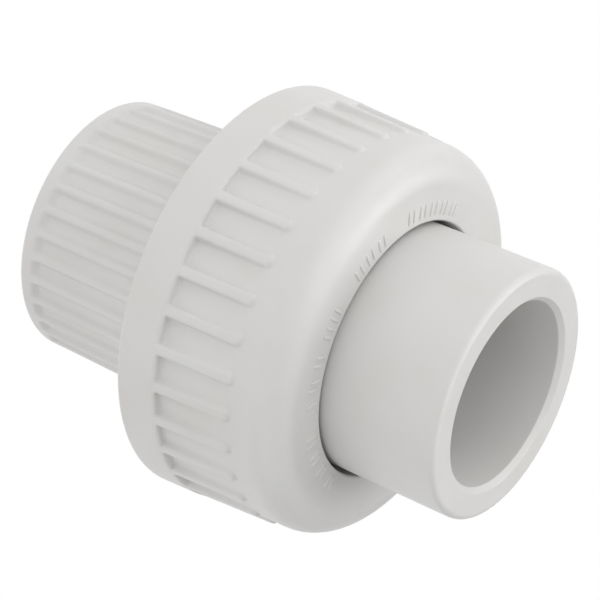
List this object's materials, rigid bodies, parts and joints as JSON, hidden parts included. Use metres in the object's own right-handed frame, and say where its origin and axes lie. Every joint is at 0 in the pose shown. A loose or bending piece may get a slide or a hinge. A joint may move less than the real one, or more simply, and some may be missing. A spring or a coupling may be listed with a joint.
{
  "type": "pipe union",
  "caption": "Three-piece plastic pipe union with plain solvent sockets, a ribbed screw nut, a swivelling end connector and an O-ring face seal.",
  "frame": {"origin": "centre of the threaded body's socket mouth, on the face that the union stands on", "axes": "+Z along the pipe axis from the threaded body to the end connector; one of the nut's ribs stands on +X, turned 0.8 degrees from it"},
  "size_m": [0.06, 0.06, 0.0706],
  "materials": {
    "pvc_body": "moulded, matt",
    "pvc_connector": "moulded, matt",
    "pvc_nut": "moulded, matt",
    "rubber_seal": "moulded EPDM, satin"
  },
  "bodies": {
    "threaded_body": {"threaded_body": "pvc_body", "o_ring": "rubber_seal"},
    "end_connector": {"end_connector": "pvc_connector"},
    "union_nut": {"union_nut": "pvc_nut"}
  },
  "joints": [
    {"name": "connector_lift", "type": "slide", "parent": "threaded_body", "child": "end_connector", "axis": [0, 0, 1], "range_m": [0, 0.01334]},
    {"name": "nut_turn", "type": "hinge", "parent": "end_connector", "child": "union_nut", "pos_m": [0, 0, 0.04], "axis": [0, 0, 1], "range_deg": [0, 1200]}
  ],
  "couplings": [
    {"joint": "connector_lift", "follows": "nut_turn", "m_per_rad": 0.00063662}
  ]
}
